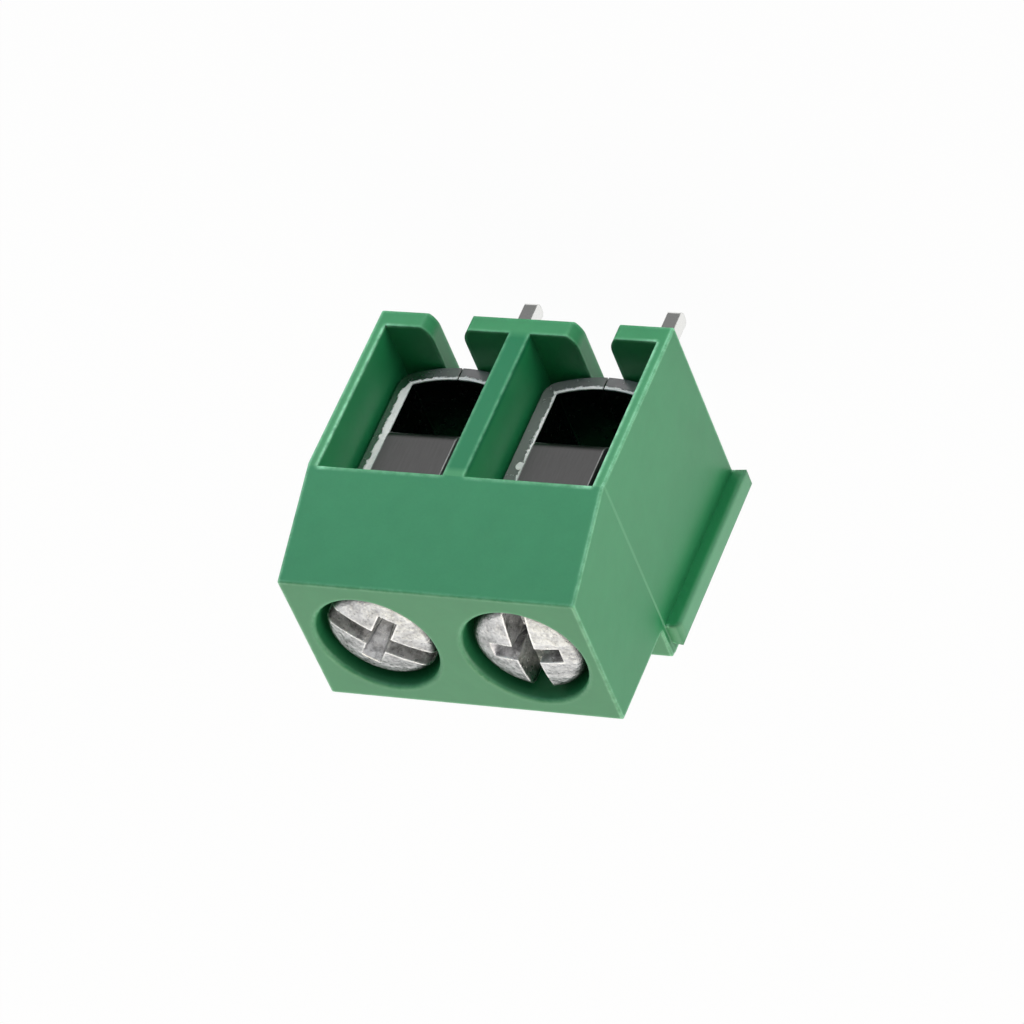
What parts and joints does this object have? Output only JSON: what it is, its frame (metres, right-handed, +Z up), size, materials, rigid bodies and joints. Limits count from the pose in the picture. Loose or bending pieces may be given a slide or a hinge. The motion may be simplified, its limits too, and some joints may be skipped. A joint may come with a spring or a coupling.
{
  "type": "pcb terminal block",
  "caption": "Screw terminal block for a printed circuit board, with front wire entries, screws reached from above, and a dovetail rib to join blocks side by side.",
  "frame": {"origin": "on the board's surface, midway along the row of solder pins", "axes": "+X across the poles towards the grooved side, +Y from the wire entries to the back, +Z up from the board"},
  "size_m": [0.0107, 0.0078, 0.0143],
  "materials": {
    "green_plastic": "satin moulded polyamide",
    "tinned_frame": "tin plated, sheared edges",
    "plated_screw": "bright nickel plated",
    "guard_steel": "smooth rolled stainless"
  },
  "bodies": {
    "block": {"housing": "green_plastic", "clamp_frame_1": "tinned_frame", "clamp_frame_2": "tinned_frame"},
    "guard_1": {"wire_guard_1": "guard_steel"},
    "screw_1": {"clamp_screw_1": "plated_screw"},
    "guard_2": {"wire_guard_2": "guard_steel"},
    "screw_2": {"clamp_screw_2": "plated_screw"}
  },
  "joints": [
    {"name": "guard_1_travel", "type": "slide", "parent": "block", "child": "guard_1", "axis": [0, 0, -1], "range_m": [0, 0.00225]},
    {"name": "screw_1_turn", "type": "hinge", "parent": "guard_1", "child": "screw_1", "pos_m": [-0.00254, -0.00005, 0.01013], "axis": [0, 0, -1], "range_deg": [0, 1800]},
    {"name": "guard_2_travel", "type": "slide", "parent": "block", "child": "guard_2", "axis": [0, 0, -1], "range_m": [0, 0.00225]},
    {"name": "screw_2_turn", "type": "hinge", "parent": "guard_2", "child": "screw_2", "pos_m": [0.00254, -0.00005, 0.01013], "axis": [0, 0, -1], "range_deg": [0, 1800]}
  ],
  "couplings": [
    {"joint": "screw_1_turn", "follows": "guard_1_travel", "rad_per_m": 13963},
    {"joint": "screw_2_turn", "follows": "guard_2_travel", "rad_per_m": 13963}
  ]
}
